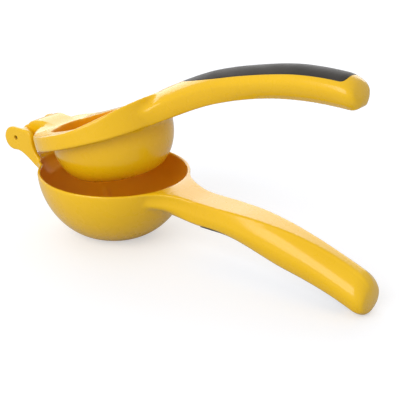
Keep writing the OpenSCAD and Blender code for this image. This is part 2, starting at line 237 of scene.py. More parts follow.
def lower_handle(x):
    """Inner face's height, thickness, inner flat, half width and shoulder at x."""
    inner = RIM_Z - HANDLE_DIP * ramp(x, RIM_R, RIM_R + 20) - drop(x, DROOP_START, DROOP_R)
    height = (HANDLE_T + LOWER_SWELL * ramp(x, PALM_START, PALM_FULL)
              - LOWER_TAPER * ramp(x, PALM_FULL, REST_X))
    flat = (LOWER_FLAT - 5 * ramp(x, PALM_START, LOWER_END - 12)
            + cove(x, RIM_R, LOWER_FLAT, LOWER_COVE))
    side = (LOWER_SIDE - LOWER_WAIST * (1 - ramp(x, RIM_R + 12, RIM_R + 52))
            + cove(x, RIM_R - 1.2, LOWER_SIDE - LOWER_WAIST, LOWER_COVE))
    return inner, height, flat, side, LOWER_SHOULDER


def upper_handle(x):
    """The same for the upper handle, as it lies when shut."""
    droop_start = DROOP_START - 3
    inner = (RING_Z + (RIM_Z - HANDLE_DIP + HANDLE_GAP - RING_Z) * ramp(x, 22, droop_start)
             - drop(x, droop_start, UPPER_DROOP_R))
    height = RING_H + (HANDLE_T - RING_H) * ramp(x, 3, 44) + UPPER_SWELL * ramp(x, 90, 120)
    sweep = cove(x, RING_R, UPPER_SIDE, UPPER_COVE)
    flat = UPPER_FLAT - 2.5 * ramp(x, PALM_START, PALM_FULL) + sweep
    return inner, height, flat, UPPER_SIDE + sweep, UPPER_SHOULDER


print("The handles droop on an arc of", round(DROOP_R), "mm")

# %% [markdown]
# The section is drawn as half an outline, in short curves, and mirrored. Near the handle's
# end it is drawn in on all sides along a quarter circle, and the end itself is slightly
# domed. So the end is a soft-edged face, like the one a belt sander leaves on a casting.

# %% Draw the handle's section
def bend(p, c, q, t):
    """Point at t on a curve from p to q that is pulled towards c."""
    return tuple((1 - t) ** 2 * a + 2 * t * (1 - t) * b + t * t * d for a, b, d in zip(p, c, q))


def half_section(height, flat, side_w, shoulder):
    """From the middle of the inner flat, round the side, to the top of the crown."""
    edge = height - CROWN
    lip_w = GRIP_HALF + GRIP_RIM
    toe, side, rim = (flat, CORNER), (side_w, shoulder * edge), (lip_w, edge)
    points = [(max(0.0, flat - CORNER) * i / 6, 0.0) for i in range(7)]
    points += [bend((flat - CORNER, 0), (flat - 0.15, 0.05), toe, i / 3) for i in (1, 2)]
    points += [bend(toe, (side_w - CORNER, 0.42 * side[1]), side, i / 12) for i in range(13)]
    points += [bend(side, (side_w, (edge + side[1]) / 2), rim, i / 7) for i in range(1, 8)]
    return points + [(lip_w * (1 - i / 10), edge + CROWN * (1 - (1 - i / 10) ** 2))
                     for i in range(1, 11)]


END_DEPTH, END_ROUND, END_CORNER, END_FLAT, END_DOME = 6.4, 5.8, 4.4, 0.66, 0.7


def rounded(point, height, x, x_end):
    """A section's point, drawn in where the handle's end is rounded over."""
    t = max(0.0, min(0.98, (x - x_end + END_DEPTH) / END_ROUND))
    turn = 1 - sqrt(1 - t * t)
    return (point[0] * (1 - (1 - END_FLAT) * turn),
            height / 2 + (point[1] - height / 2) * (1 - 2 * END_CORNER * turn / height))


def handle_rings(shape, x0, x_end, up):
    """Rings of points along a handle, closer together on its rounded end."""
    run = x_end - END_DEPTH - x0
    stations = [x0 + run * i / 84 for i in range(85)]
    stations += [x_end - END_DOME - (END_DEPTH - END_DOME) * (1 - sin(pi / 2 * i / 14))
                 for i in range(1, 15)]
    rings = []
    for x in stations:
        inner, height, flat, side_w, shoulder = shape(x)
        half = [rounded(p, height, x, x_end) for p in half_section(height, flat, side_w, shoulder)]
        rings.append([(x, -y, inner + up * z) for y, z in half]
                     + [(x, y, inner + up * z) for y, z in half[-2:0:-1]])
    last = rings[-1]
    middle = [sum(p[k] for p in last) / len(last) for k in (1, 2)]
    for scale in (0.8, 0.6, 0.4, 0.2, 0.05):
        rings.append([(x_end - END_DOME * scale ** 2, middle[0] + (y - middle[0]) * scale,
                       middle[1] + (z - middle[1]) * scale) for _, y, z in last])
    return rings


# %% [markdown]
# A loft is made as by hand: the first ring is filled, extruded to the next station, and its
# corners are pulled to the new ring's places, and so on to the end. Each corner carries its
# number round the ring, which extruding copies, so it is known where each one belongs.

# %% Loft the lower handle
def loft(name, rings):
    """A closed skin through rings of equally many points, in millimetres."""
    piece = outline_of(name, rings[0], "NGON")
    numbers = piece.data.attributes.new("corner", "INT", "POINT")
    numbers.data.foreach_set("value", range(len(rings[0])))
    bpy.ops.object.mode_set(mode="EDIT")
    bpy.ops.mesh.select_mode(type="FACE")
    bpy.ops.mesh.select_all(action="SELECT")
    for ring in rings[1:]:
        bpy.ops.mesh.extrude_region_move()
        body = bmesh.from_edit_mesh(piece.data)
        number = body.verts.layers.int["corner"]
        for corner in body.verts:
            if corner.select:
                corner.co = Vector(ring[corner[number]]) * MM
        bmesh.update_edit_mesh(piece.data)
    bpy.ops.mesh.select_all(action="SELECT")
    bpy.ops.mesh.normals_make_consistent(inside=False)
    bpy.ops.object.mode_set(mode="OBJECT")
    return piece


lower_bar = loft("lower_bar", handle_rings(lower_handle, RIM_R / 2, LOWER_END, -1))
cut(lower_bar, plug, keep_cutter=True)
print("Lower handle:", len(lower_bar.data.vertices), "points")

# %% [markdown]
# Two ears carry the pin. Each is a thin plate with a round nose, a nearly level top and a
# curved arm down to the bowl, so its side view is extruded along Y and its rims are bevelled.
# A round boss inside each ear reaches in to the barrel, and gives the pin a long seat.

# %% Extrude the hinge ears and turn their bosses
EAR_IN, EAR_OUT, EAR_R, EAR_EDGE, BOSS_R, BOSS_ROOT = 11.85, 14.95, 6.15, 0.8, 3.7, 1.5
BARREL_R, BARREL_HALF, PLAY = 4.7, 5.5, 0.35
PIN_X, PIN_Z = PIN.x / MM, PIN.z / MM
ALONG_PIN = TO_PIN @ Matrix.Rotation(-pi / 2, 4, "X")


def plate(name, side_view, y0, y1, edge):
    """A side view of [x, z] points, given thickness along Y, with bevelled rims."""
    piece = outline_of(name, [(x, y0, z) for x, z in side_view], "NGON")
    bpy.ops.object.mode_set(mode="EDIT")
    bpy.ops.mesh.select_all(action="SELECT")
    bpy.ops.mesh.extrude_region_move(TRANSFORM_OT_translate={"value": (0, (y1 - y0) * MM, 0)})
    bpy.ops.mesh.select_all(action="SELECT")
    bpy.ops.mesh.normals_make_consistent(inside=False)
    bpy.ops.mesh.select_mode(type="EDGE")
    body = bmesh.from_edit_mesh(piece.data)
    for rim in body.edges:
        rim.select_set(abs(rim.verts[0].co.y - rim.verts[1].co.y) < 1e-7)
    bmesh.update_edit_mesh(piece.data)
    bpy.ops.mesh.bevel(offset=edge * MM, segments=4, affect="EDGES")
    bpy.ops.object.mode_set(mode="OBJECT")
    return piece


def bar_along_pin(name, radius, y0, y1, soft=0.6, steps=72):
    """A turned bar on the pin's axis, with softened ends."""
    turns = [pi / 2 * i / 4 for i in range(5)]
    chain = [(0, y0)] + [(radius - soft + soft * sin(a), y0 + soft * (1 - cos(a))) for a in turns]
    chain += [(radius - soft + soft * cos(a), y1 - soft * (1 - sin(a))) for a in turns] + [(0, y1)]
    piece = spin_up(name, chain, steps)
    piece.data.transform(ALONG_PIN)
    return piece


nose = (PIN_X - 1.95, PIN_Z - 0.65)
ear_view = [(nose[0] + EAR_R * cos(radians(a)), nose[1] + EAR_R * sin(radians(a)))
            for a in range(90, 271, 6)]
under_arm = (nose[0] + 1.6, nose[1] - EAR_R), (PIN_X + 4, RIM_Z + 3.1), (-39, RIM_Z - 5.4)
front = (-38.2, RIM_Z + 0.5), (-42.5, RIM_Z + 4.1), (-42.7, 42.5)
corner = (-42.7, 42.5), (-42.7, nose[1] + EAR_R), (-47, nose[1] + EAR_R)
ear_view += [bend(*under_arm, i / 10) for i in range(1, 11)]
ear_view += [(-34, RIM_Z - 8), (-35, RIM_Z)]
ear_view += [bend(*front, i / 6) for i in range(6)]
ear_view += [bend(*corner, i / 6) for i in range(7)]
ears = [plate("ear", ear_view, y, y + EAR_OUT - EAR_IN, EAR_EDGE) for y in (-EAR_OUT, EAR_IN)]
boss_in, boss_out = BARREL_HALF + PLAY, EAR_IN + BOSS_ROOT
bosses = [bar_along_pin("boss", BOSS_R, y0, y1)
          for y0, y1 in ((-boss_out, -boss_in), (boss_in, boss_out))]
print("Ears:", [len(ear.data.vertices) for ear in ears], "points")

# %% [markdown]
# Between the ears the bowl's rim bulges out a little, which leaves room for the neck of the
# upper arm. The bulge is half of a rounded slot that widens upwards. One loft is its outside,
# and a second one, a wall's thickness smaller, hollows it and the bowl's side behind it. A
# web that follows the ears' lower edge fills the corner between the bulge and both ears.

# %% Loft the bay between the ears
BAY_X, BAY_Y, BAY_LOW, BAY_HIGH_R, BAY_GROWTH = -28.2, 6, 24, 13.8, 7
HOLLOW_LOW, HOLLOW_R, HOLLOW_GROWTH = 26, 12, 5.5


def half_slot(r, z):
    """The left half of a slot with round ends of radius r, at height z."""
    turns = [pi / 2 + pi / 2 * i / 12 for i in range(13)]
    far = [(BAY_X + r * cos(a), BAY_Y + r * sin(a), z) for a in turns]
    return far + [(x, -y, z) for x, y, _ in reversed(far)]


def flaring(low, high, steps, r, growth):
    """Half slots from low to high that flare to radius r at the rim."""
    levels = [low + (high - low) * i / steps for i in range(steps + 1)]
    return [half_slot(r - growth * (1 - (z - low) / (RIM_Z - low)) ** 2, z) for z in levels]


bay = loft("bay", flaring(BAY_LOW, RIM_Z - 0.9, 10, BAY_HIGH_R, BAY_GROWTH)
           + [half_slot(BAY_HIGH_R - 0.2, RIM_Z - 0.3), half_slot(BAY_HIGH_R - 0.8, RIM_Z)])
bay_hollow = loft("bay_hollow", flaring(HOLLOW_LOW, RIM_Z, 8, HOLLOW_R, HOLLOW_GROWTH)
                  + [half_slot(HOLLOW_R, RIM_Z + 8)])
WEB_TOP = 33.9
web_view = [(-47.9, WEB_TOP), (-46.8, 33.3), (-45, 32.2), (-43.1, 31), (-41.1, 29.6), (-39, 28),
            (-35, 26), (-35, WEB_TOP)]
web = plate("web", web_view, -EAR_IN - 1, EAR_IN + 1, 0.4)
for part in (*ears, bay, web):
    cut(part, plug, keep_cutter=True)
bpy.data.objects.remove(plug)
for part in (bowl, *ears, bay, web):
    cut(part, bay_hollow, keep_cutter=True)
bpy.data.objects.remove(bay_hollow)
print("Bay:", len(bay.data.vertices), "points")

# %% [markdown]
# Low ribs on the bowl's inside grip the peel and let the juice run to the holes. Each is a
# thin plate whose side view follows the dish, and they stand in a ring.

# %% Set low ribs in the bowl
RIB_W, RIB_H, RIB_ROOT, RIB_START, RIB_TOP, RIBS = 2.4, 1.2, 0.7, 9, 11, 5
RIB_TURN = radians(-3)


def copy_of(piece, matrix):
    """A copy with a mesh of its own, moved by a matrix."""
    twin = piece.copy()
    twin.data = piece.data.copy()
    twin.data.transform(matrix)
    bpy.context.collection.objects.link(twin)
    return twin


run = [(RIB_START, FLOOR)] + [(r, z + FLOOR) for r, z in dish_chain(
    RIM_Z - FLOOR, FOOT_R - LIP, RIM_R - WALL, FULLNESS, RIB_TOP, steps=12)]
under, over = [], []
for i, (r, z) in enumerate(run):
    r0, z0 = run[max(0, i - 1)]
    r1, z1 = run[min(len(run) - 1, i + 1)]
    step = sqrt((r1 - r0) ** 2 + (z1 - z0) ** 2)
    out = ((z1 - z0) / step, -(r1 - r0) / step)
    rise = RIB_H * min(1.0, 0.15 + i / 2, 0.15 + (len(run) - 1 - i) / 1.5)
    under.append((r + RIB_ROOT * out[0], z + RIB_ROOT * out[1]))
    over.append((r - rise * out[0], z - rise * out[1]))
rib = plate("rib", under + over[::-1], -RIB_W / 2, RIB_W / 2, 0.4)
ribs = [copy_of(rib, Matrix.Rotation(RIB_TURN + 2 * pi * i / RIBS, 4, "Z")) for i in range(RIBS)]
bpy.data.objects.remove(rib)
print("Ribs:", len(ribs), "of", RIB_W, "by", RIB_H, "mm")

# %% [markdown]
# Now bowl, handle, hinge and ribs become one casting. A union would leave knife-sharp inside
# corners, which no casting has. So the parts are joined and remeshed at half a millimetre,
# which welds them, and the skin is smoothed lightly. Then the script looks for points that
# lie in a hollow of less than 4 mm radius, and smooths the skin within 3 mm of those until
# each inside corner is a fillet. How far each point stands out on an edge, evened out with
# its neighbours, is kept on the mesh for the enamel, which is thinnest there.

# %% Weld parts into one casting with filleted corners
VOXEL, EVEN_ALL, EVEN_CORNERS = 0.55, 4, 40
CORNER_DEEP, CORNER_REACH, EDGE_HIGH, EDGE_FROM = 0.02, 3.0, 0.05, 0.4


def hollows(body):
    """How deep each point lies below its neighbours, in millimetres. An edge is negative."""
    depth = []
    for v in body.verts:
        around = [e.other_vert(v).co for e in v.link_edges]
        middle = sum(around, Vector()) / len(around)
        depth.append((middle - v.co).dot(v.normal) / MM)
    return depth


def smooth(piece, times, group=""):
    """Evens the skin out, all over or as far as a vertex group says."""
    modifier = piece.modifiers.new("Smooth", "SMOOTH")
    modifier.factor = 0.5
    modifier.iterations = times
    modifier.vertex_group = group
    bpy.ops.object.modifier_apply(modifier=modifier.name)


def weld(name, parts):
    """Joins the parts into one skin and fillets its inside corners."""
    pick(*parts)
    bpy.ops.object.join()
    casting = bpy.context.object
    casting.name = name
    modifier = casting.modifiers.new("Weld", "REMESH")
    modifier.mode = "VOXEL"
    modifier.voxel_size = VOXEL * MM
    bpy.ops.object.modifier_apply(modifier=modifier.name)
    smooth(casting, EVEN_ALL)
    body = bmesh.new()
    body.from_mesh(casting.data)
    corners = [v.co.copy() for v, deep in zip(body.verts, hollows(body)) if deep > CORNER_DEEP]
    tree = KDTree(len(corners))
    for i, place in enumerate(corners):
        tree.insert(place, i)
    tree.balance()
    group = casting.vertex_groups.new(name="corners")
    for v in body.verts:
        near = tree.find(v.co)[2] / MM if corners else CORNER_REACH
        if near < CORNER_REACH:
            weight = 1 - ramp(near, 0.4 * CORNER_REACH, CORNER_REACH)
            group.add([v.index], weight, "REPLACE")
    body.free()
    smooth(casting, EVEN_CORNERS, "corners")
    body = bmesh.new()
    body.from_mesh(casting.data)
    edges = [max(0.0, min(1.0, -deep / EDGE_HIGH - EDGE_FROM)) for deep in hollows(body)]
    for _ in range(2):
        edges = [sum(edges[e.other_vert(v).index] for e in v.link_edges) / len(v.link_edges)
                 for v in body.verts]
    body.free()
    casting.data.attributes.new("edge", "FLOAT", "POINT").data.foreach_set("value", edges)
    print(name + ":", len(casting.data.polygons), "faces,", len(corners), "points in corners")
    return casting


lower_casting = weld("lower_casting", [bowl, lower_bar, *ears, *bosses, bay, web, *ribs])

# %% [markdown]
# The holes come last, so that their edges stay crisp. Drain slots stand in a ring round the
# foot, with round holes inside them, and all go straight down, as a mould's cores leave
# them. The pin's bore is one stepped turned body: it stops short of the near ear's face, and
# a small hole goes on, through which the pin can be driven out.

# %% Make the holes of the lower casting
def joined(name, parts):
    """Several parts as one object."""
    pick(*parts)
    bpy.ops.object.join()
    bpy.context.object.name = name
    return bpy.context.object


SLOT_W, SLOT_L, SLOT_R, SLOTS, HOLE_D, HOLE_R, HOLES = 2, 4.2, 14.2, 10, 3, 6.3, 5
HOLES_FROM, HOLES_TO = -1, 16
slot_view = [(side * (SLOT_L - SLOT_W) / 2 + SLOT_W / 2 * cos(a), SLOT_W / 2 * sin(a), HOLES_FROM)
             for side, start in ((1, -pi / 2), (-1, pi / 2))
             for a in [start + pi * i / 12 for i in range(13)]]
slot = loft("slot", [slot_view, [(x, y, HOLES_TO) for x, y, _ in slot_view]])
hole = spin_up("hole", [(0, HOLES_FROM), (HOLE_D / 2, HOLES_FROM),
                        (HOLE_D / 2, HOLES_TO), (0, HOLES_TO)], steps=32)
cutters = [copy_of(slot, Matrix.Rotation(2 * pi * (i + 0.5) / SLOTS, 4, "Z")
                   @ Matrix.Translation((SLOT_R * MM, 0, 0))) for i in range(SLOTS)]
cutters += [copy_of(hole, Matrix.Rotation(2 * pi * i / HOLES, 4, "Z")
                    @ Matrix.Translation((HOLE_R * MM, 0, 0))) for i in range(HOLES)]
for pattern in (slot, hole):
    bpy.data.objects.remove(pattern)

PIN_R, DRIFT_R, COVER, SOFT = 2.5, 1.15, 1.5, 0.3
drift = [(0, -EAR_OUT - 1), (DRIFT_R + SOFT + 1, -EAR_OUT - 1), (DRIFT_R + SOFT, -EAR_OUT),
         (DRIFT_R, SOFT - EAR_OUT), (DRIFT_R, COVER - EAR_OUT)]
seat = spin_up("seat", drift + [(PIN_R, COVER - EAR_OUT), (PIN_R, EAR_OUT + 1), (0, EAR_OUT + 1)],
               steps=64)
seat.data.transform(ALONG_PIN)
cut(lower_casting, joined("lower_holes", cutters + [seat]))
print("Lower casting with its holes:", len(lower_casting.data.polygons), "faces")

# %% [markdown]
# The ring of the upper casting is a disc, flat underneath where it closes over the bowl,
# whose top rises towards the handle and the hinge. It is lofted too, from the middle
# of its underside, out and up over the softened edge, to the middle of its top.

# %% Loft the ring
def ring_level(r, share, around=144):
    """A circle of radius r on the disc: share 0 is its underside and 1 is its top."""
    points = []
    for i in range(around):
        x, y = r * cos(2 * pi * i / around), r * sin(2 * pi * i / around)
        inner, height = upper_handle(x)[:2]
        height += RING_LIFT * ramp(-x, 27, 39)
        points.append((x, y, inner + height * share))
    return points


def softened(r, steps=5, edge=0.9):
    """The disc's outer edge, as [radius, drawn-in height] in a quarter circle."""
    return [(r - edge + edge * sin(pi / 2 * i / steps), edge * (1 - cos(pi / 2 * i / steps)))
            for i in range(steps + 1)]


def lifted(points, dz):
    """The same points, higher by dz."""
    return [(x, y, z + dz) for x, y, z in points]


levels = [ring_level(r, 0) for r in (1, 12, 24, 30, 34)]
levels += [lifted(ring_level(r, 0), dz) for r, dz in softened(RING_R)]
levels += [ring_level(RING_R, share) for share in (0.3, 0.45, 0.6, 0.7)]
levels += [lifted(ring_level(r, 1), -dz) for r, dz in reversed(softened(RING_R))]
levels += [ring_level(r, 1) for r in (34, 30, 24, 12, 1)]
ring = loft("ring", levels)
print("Ring:", len(ring.data.vertices), "points")

# %% [markdown]
# The press cup hangs under the ring and pushes the lemon into the bowl. It is a dish like
# the bowl, with a wide flat bottom, and it leans back towards the hinge so that it meets
# the fruit squarely as the arm comes down. The wall and the hollow are spun apart, and the
# hollow is long enough to open the ring too.

# %% Spin the press cup and its hollow
CUP_R, CUP_FOOT_R, CUP_DEPTH, CUP_WALL, CUP_TILT = 30.4, 15, 21.6, 1.8, radians(6)
CUP_TOP, HOLLOW_TOP = CUP_DEPTH + 3.6, CUP_DEPTH + 24
AT_CUP = (Matrix.Translation((0, 0, RING_Z * MM)) @ Matrix.Rotation(CUP_TILT, 4, "Y")
          @ Matrix.Translation((0, 0, -CUP_DEPTH * MM)))
cup_out = dish_chain(CUP_DEPTH, CUP_FOOT_R, CUP_R, 2, CUP_DEPTH)
cup_in = [(r, z + CUP_WALL) for r, z in dish_chain(
    CUP_DEPTH - CUP_WALL, CUP_FOOT_R - CUP_WALL / 2, CUP_R - CUP_WALL, 2, CUP_DEPTH - CUP_WALL)]
cup = spin_up("cup", [(0, 0), (CUP_FOOT_R / 2, 0)] + cup_out
              + [(CUP_R, CUP_TOP), (0, CUP_TOP)])
hollow = spin_up("hollow", [(0, CUP_WALL), (CUP_FOOT_R / 2, CUP_WALL)] + cup_in
                 + [(CUP_R - CUP_WALL, HOLLOW_TOP), (0, HOLLOW_TOP)])
for part in (cup, hollow):
    part.data.transform(AT_CUP)
print("Cup:", len(cup.data.vertices), "points")

# %% [markdown]
# The neck joins the ring to the barrel. It fills most of the space between the ears, with a
# rounded shoulder beside the pin, and stops short of their bosses. Only its narrow root runs
# on between the bosses to the barrel, which is a turned bar along the pin.

# %% Make the neck, the barrel and the upper handle
NECK_HALF, NECK_X, NECK_TOP, NECK_EDGE, ROOT_EDGE = 9, PIN_X + 4.35, 48.3, 0.9, 0.6
neck_view = [(NECK_X, 38.8), (NECK_X, 44.9), (NECK_X + 0.3, 46.5), (NECK_X + 1.3, 47.6),
             (NECK_X + 3, 48.1), (NECK_X + 4.6, NECK_TOP)]
neck_view += [(-44 + 18 * i / 12, NECK_TOP - (NECK_TOP - RING_Z - RING_H) * ramp(i, 0, 12))
              for i in range(13)]
neck_view += [(-RING_R + 10, RING_Z), (-RING_R, RING_Z), (-44, 35.6), (-47, 36.5)]
neck = plate("neck", neck_view, -NECK_HALF, NECK_HALF, NECK_EDGE)
root_view = [(PIN_X, PIN_Z - BARREL_R), (PIN_X, PIN_Z + BARREL_R),
             (-49, 47.2), (-44, 46), (-45, 36.5)]
root = plate("root", root_view, -BARREL_HALF, BARREL_HALF, ROOT_EDGE)
barrel = bar_along_pin("barrel", BARREL_R, -BARREL_HALF, BARREL_HALF)
upper_bar = loft("upper_bar", handle_rings(upper_handle, RING_R - 8, UPPER_END, 1))
for part in (ring, cup, neck, root, upper_bar):
    cut(part, hollow, keep_cutter=True)
bpy.data.objects.remove(hollow)
upper_casting = weld("upper_casting", [ring, cup, neck, root, barrel, upper_bar])

# %% Bore the barrel
BORE_R = 2.55
bore = spin_up("bore", [(0, -BARREL_HALF - 3), (BORE_R, -BARREL_HALF - 3),
                        (BORE_R, BARREL_HALF + 3), (0, BARREL_HALF + 3)], steps=64)
bore.data.transform(ALONG_PIN)
cut(upper_casting, bore)
print("Upper casting:", len(upper_casting.data.polygons), "faces")

# %% [markdown]
# A grip is a strip of soft rubber that lies in a pocket of its handle. The upper one has a
# long pointed nose and is flush with the crown. The lower one has a blunt nose, a little
# wider and a little proud. Both are rounded at the back, and three studs under each lock into
# holes in the casting. One loft makes the pocket's cutter, a tenth of a millimetre wider,
# and another makes the grip itself, with softened edges, so that a fine line shows between.

# %% Shape the grips and cut their pockets
GRIP_T, GRIP_EDGE, GRIP_TAPER, BACK_L, FIT, POCKET_OPEN = 2.2, 0.3, 0.9, 3.5, 0.1, 3
STUD_D, STUD_L, STUD_STEP, STUD_START = 5, 3, 24, 52
LOWER_STRIP = SimpleNamespace(shape=lower_handle, x_end=LOWER_END, up=-1, start=55.5, nose_l=7,
                              end=LOWER_END - 10, swell=0.4, proud=0.3)
UPPER_STRIP = SimpleNamespace(shape=upper_handle, x_end=UPPER_END, up=1, start=52, nose_l=30,
                              end=UPPER_END - 3.5, swell=0, proud=0)


def strip_width(strip, x, grow):
    """Half width of a grip at x: drawn in over its nose in front, rounded at the back."""
    front = min(1, (x - strip.start + grow) / strip.nose_l)
    back = min(1, (strip.end - x + grow) / BACK_L)
    half = GRIP_HALF - GRIP_TAPER * ramp(x, strip.end - 34, strip.end)
    half += strip.swell * (1 - ramp(x, 66, 80))
    return max(0.25, (half + grow) * min(
        max(0, 1 - (1 - front) ** 2) ** 0.6, max(0, 1 - (1 - back) ** 3) ** (1 / 3)))


def strip_rings(strip, pocket):
    """Rings of a grip whose face follows the crown, or of the cutter for its pocket."""
    grow, soft, deep = (FIT, 0, GRIP_T) if pocket else (0, GRIP_EDGE, GRIP_T - 0.02)
    x0, x1, nose_l = strip.start - grow, strip.end + grow, strip.nose_l
    stations = [x0 + nose_l * (1 - cos(pi / 2 * i / 24)) for i in range(24)]
    stations += [x0 + nose_l + (x1 - BACK_L - x0 - nose_l) * i / 36 for i in range(37)]
    stations += [x1 - BACK_L * (1 - sin(pi / 2 * i / 14)) for i in range(1, 15)]
    rings = []
    for x in stations:
        inner, height = strip.shape(x)[:2]
        w = strip_width(strip, x, grow)
        round_off = min(soft, w * 0.9)
        turn = rounded((1, height), height, x, strip.x_end)[0]
        ends = max(0.0, 1 - 4 * min(x - x0, x1 - x) / soft) if soft else 0.0
        out = POCKET_OPEN if pocket else strip.proud * (1 - ramp(x, 64, 76))

        def rise(y):
            crown = height - CROWN * (y / turn / (GRIP_HALF + GRIP_RIM)) ** 2
            return rounded((0, crown), height, x, strip.x_end)[1]

        def fall(y):
            t = max(0.0, (abs(y) - w + round_off) / max(round_off, 1e-6))
            return soft * (1 - sqrt(max(0.0, 1 - t ** 2)))

        across = [-w + round_off * (1 - cos(pi / 2 * i / 4)) for i in range(4)] if soft else [-w]
        across += [-(w - round_off) + 2 * (w - round_off) * i / 20 for i in range(21)]
        across += [-y for y in reversed(across[:4])] if soft else [w]
        ring = [(x, y, inner + strip.up * (rise(y) + out - fall(y) - soft * ends)) for y in across]
        back = [-w + 2 * w * i / 8 for i in range(8, -1, -1)]
        ring += [(x, y, inner + strip.up * (rise(y) - deep)) for y in back]
        rings.append(ring)
    return rings


def studs_for(strip, radius, extra):
    """Three studs about the grip's middle, from just under its face into the casting."""
    stud = spin_up("stud", [(0, -0.6), (radius, -0.6), (radius, STUD_L + extra),
                            (0, STUD_L + extra)], steps=48)
    twins = []
    for i in (-1, 0, 1):
        x = (STUD_START + strip.end) / 2 + i * STUD_STEP
        inner, height = strip.shape(x)[:2]
        turn = Matrix.Rotation(pi, 4, "X") if strip.up > 0 else Matrix()
        place = Vector((x, 0, inner + strip.up * (height - GRIP_T))) * MM
        twins.append(copy_of(stud, Matrix.Translation(place) @ turn))
    bpy.data.objects.remove(stud)
    return twins


def inlay(name, casting, strip):
    """Cuts the pocket for a grip into its casting and makes the grip."""
    cut(casting, loft("pocket", strip_rings(strip, pocket=True)))
    cut(casting, joined("stud_holes", studs_for(strip, STUD_D / 2 + FIT, 0.4)))
    grip = loft(name, strip_rings(strip, pocket=False))
    for stud in studs_for(strip, STUD_D / 2, 0):
        combine(grip, stud, "UNION", keep_tool=False)
    print(name + ":", len(grip.data.polygons), "faces;", casting.name + ":",
          len(casting.data.polygons), "faces")
    return grip


lower_inlay = inlay("lower_inlay", lower_casting, LOWER_STRIP)
upper_inlay = inlay("upper_inlay", upper_casting, UPPER_STRIP)

# %% [markdown]
# Inside the bowl and the press cup the enamel is painted a deeper orange, as painted shade for
# the light bounced among their yellow walls, and it is duller there. Every point that faces into
# one of them is marked for it.

# %% Mark the insides for painted shade
def mark_painted_shade_insides(casting, to_dish, r_max, low, high):
    """Marks points that face a dish's axis, fading out below its mouth, for the painted shade."""
    marks = []
    for v in casting.data.vertices:
        place = to_dish @ v.co / MM
        facing = to_dish.to_3x3() @ v.normal
        r = sqrt(place.x ** 2 + place.y ** 2)
        inward = -(place.x * facing.x + place.y * facing.y) / max(r, 0.1)
        shown = inward > 0.15 or (facing.z > 0.6 and r < 0.75 * r_max)
        within = shown and r < r_max and place.z > low
        marks.append(1 - ramp(place.z, high - 1.5, high) if within else 0.0)
    casting.data.attributes.new("inside", "FLOAT", "POINT").data.foreach_set("value", marks)
    print(casting.name + ":", sum(mark > 0 for mark in marks), "points face inwards")


BAY_REACH = 41.3
mark_painted_shade_insides(lower_casting, Matrix(), BAY_REACH, 2, RIM_Z - 0.3)
mark_painted_shade_insides(upper_casting, AT_CUP.inverted(), CUP_R - 0.9, 1, CUP_DEPTH + 7)

# %% [markdown]
# The upper arm was made shut. It is now turned open about the pin, by the angle that the
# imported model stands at. Soft shading goes on all pieces, except where two faces meet at
# more than 35 degrees, such as round the holes and pockets.

# %% Open the upper arm and shade
for part in (upper_casting, upper_inlay):
    part.data.transform(OPENED)
for part in (lower_casting, upper_casting, lower_inlay, upper_inlay):
    pick(part)
    bpy.ops.object.shade_smooth_by_angle(angle=radians(35))
    part.data.update()
    low, high = [[round(f(v.co[k] for v in part.data.vertices) / MM, 1) for k in range(3)]
                 for f in (min, max)]
    print(part.name, "from", low, "to", high)

# %% [markdown]
# The enamel is a thick, baked yellow coat. It is even from afar, but its colour drifts a
# little where the coat is thicker, its gloss is uneven, its skin has the faint ripple that
# painters call orange peel, and it is thin and pale along the edges. All of it comes from
# noise on the piece's own coordinates, so that it stays put when the arm moves.

# %% Mix the enamel
def finish(name):
    """A new finish and small helpers to add nodes and links to it."""
    material = bpy.data.materials.new(name)
    material.use_nodes = True
    tree = material.node_tree
    skin = tree.nodes["Principled BSDF"]
    place = tree.nodes.new("ShaderNodeTexCoord")

    def noise(scale, detail=2.0, stretch=None):
        node = tree.nodes.new("ShaderNodeTexNoise")
        node.inputs["Scale"].default_value = scale
        node.inputs["Detail"].default_value = detail
        source = place.outputs["Object"]
        if stretch:
            mapping = tree.nodes.new("ShaderNodeMapping")
            mapping.inputs["Scale"].default_value = stretch
            tree.links.new(source, mapping.inputs["Vector"])
            source = mapping.outputs["Vector"]
        tree.links.new(source, node.inputs["Vector"])
        return node.outputs["Fac"]

    def spread(value, low, high, start=0.3, stop=0.7):
        node = tree.nodes.new("ShaderNodeMapRange")
        limits = {"From Min": start, "From Max": stop, "To Min": low, "To Max": high}
        for socket, number in limits.items():
            node.inputs[socket].default_value = number
        tree.links.new(value, node.inputs["Value"])
        return node.outputs["Result"]

    def mixed(factor, first, second):
        node = tree.nodes.new("ShaderNodeMix")
        node.data_type = "RGBA"
        tree.links.new(factor, node.inputs["Factor"])
        for socket, colour in ((node.inputs[6], first), (node.inputs[7], second)):
            if isinstance(colour, tuple):
                socket.default_value = (*colour, 1)
            else:
                tree.links.new(colour, socket)
        return node.outputs[2]

    def bumped(value, strength, distance, before=None):
        node = tree.nodes.new("ShaderNodeBump")
        node.inputs["Strength"].default_value = strength
        node.inputs["Distance"].default_value = distance
        tree.links.new(value, node.inputs["Height"])
        if before:
            tree.links.new(before, node.inputs["Normal"])
        return node.outputs["Normal"]

    return material, tree, skin, noise, spread, mixed, bumped


